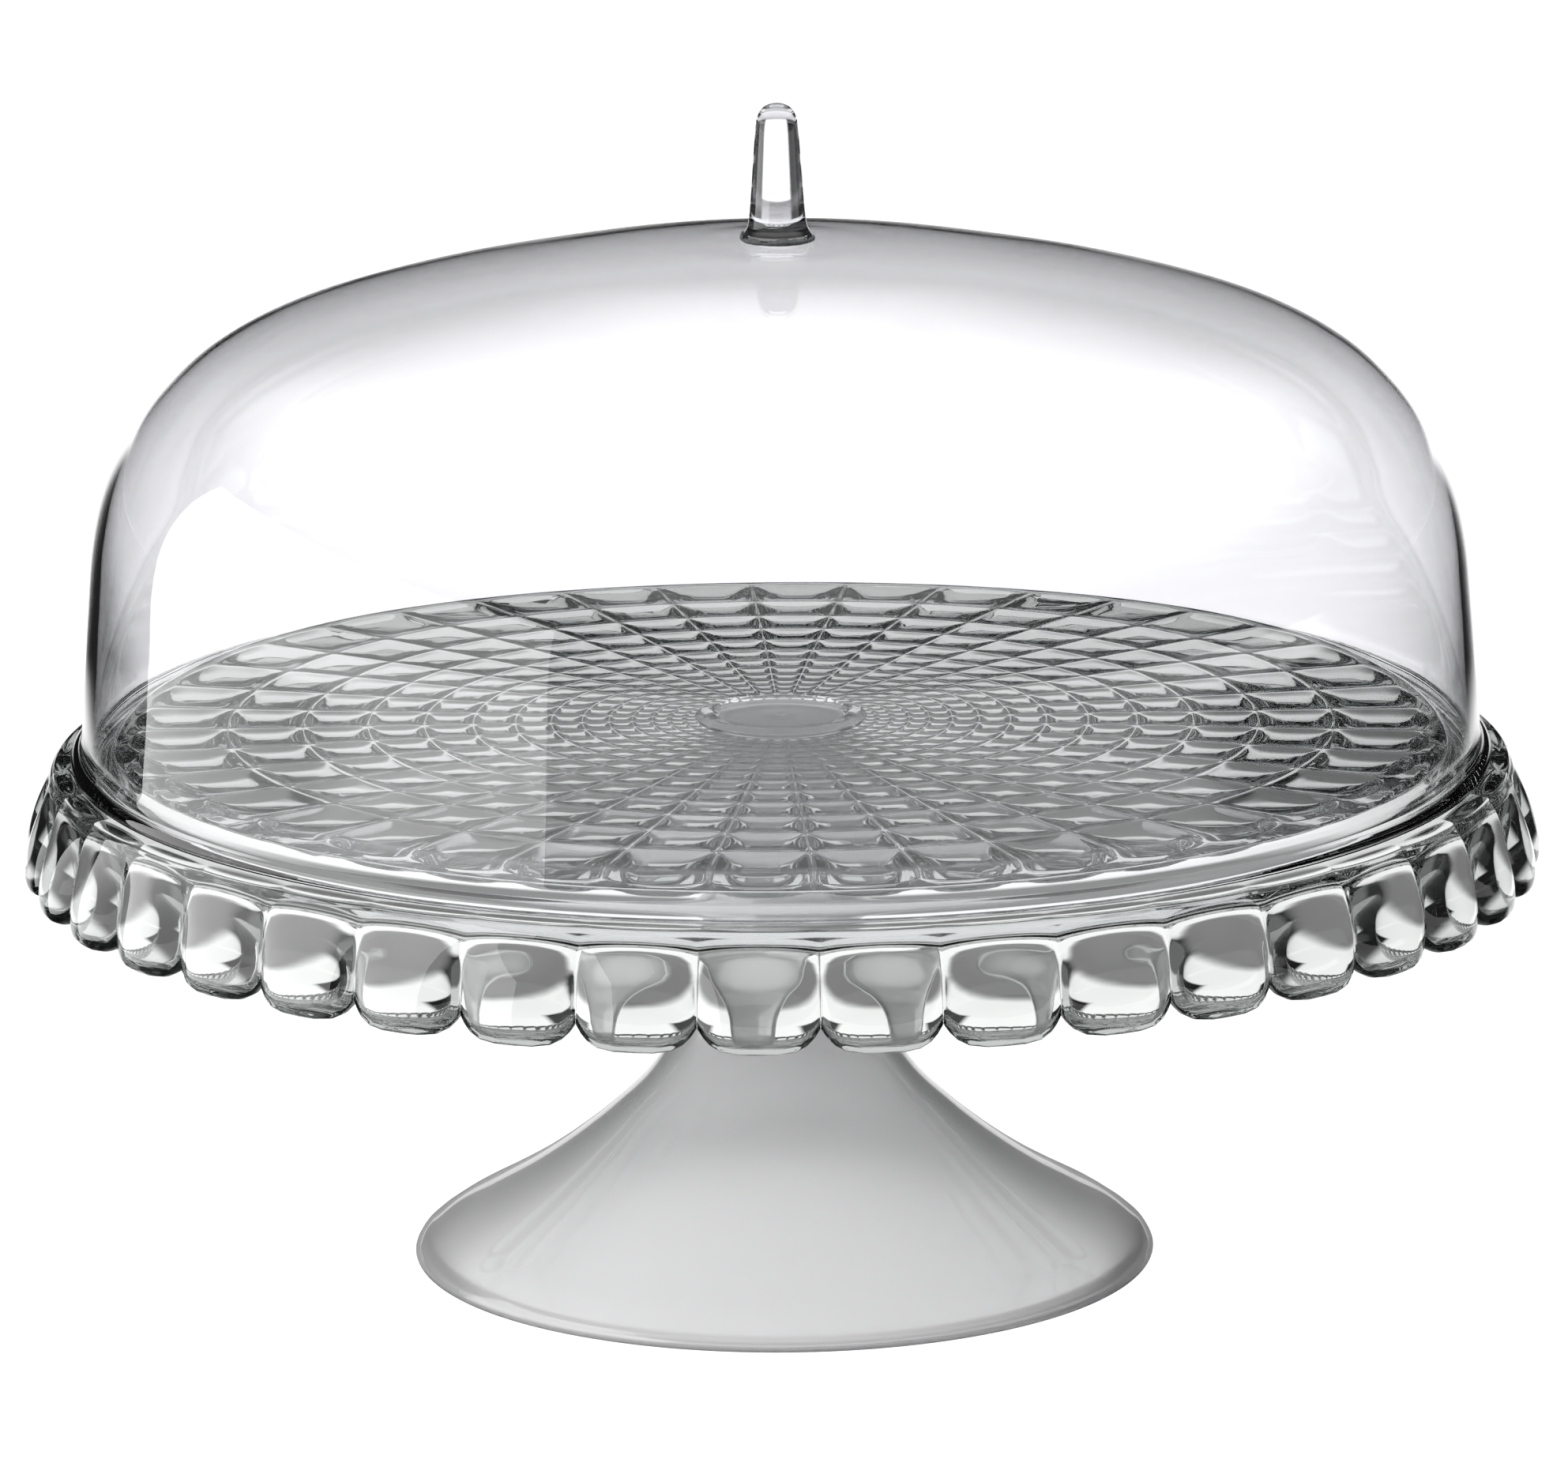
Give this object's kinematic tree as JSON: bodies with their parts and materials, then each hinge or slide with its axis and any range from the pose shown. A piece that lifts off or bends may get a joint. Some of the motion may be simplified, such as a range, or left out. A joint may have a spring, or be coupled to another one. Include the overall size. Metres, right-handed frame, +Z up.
{
  "type": "cake stand with dome",
  "caption": "Round cake stand on a hollow flared foot, with a scalloped pillow-textured rim and a clear dome with a slim knob that lifts off to serve.",
  "frame": {"origin": "on the table, at the centre of the foot's rim", "axes": "+Z up along the axis of foot, plate, dome and knob; a petal of the skirt faces -Y"},
  "size_m": [0.3606, 0.3606, 0.2791],
  "materials": {
    "foot_acrylic": "smoky, satin inside",
    "plate_acrylic": "clear, faint smoke tint, gloss",
    "dome_acrylic": "clear gloss",
    "knob_acrylic": "clear gloss"
  },
  "bodies": {
    "stand": {"foot": "foot_acrylic", "plate": "plate_acrylic"},
    "cover": {"dome": "dome_acrylic", "knob": "knob_acrylic"}
  },
  "joints": [
    {"name": "cover_lift", "type": "slide", "parent": "stand", "child": "cover", "axis": [0, 0, 1], "range_m": [0, 0.16]}
  ]
}
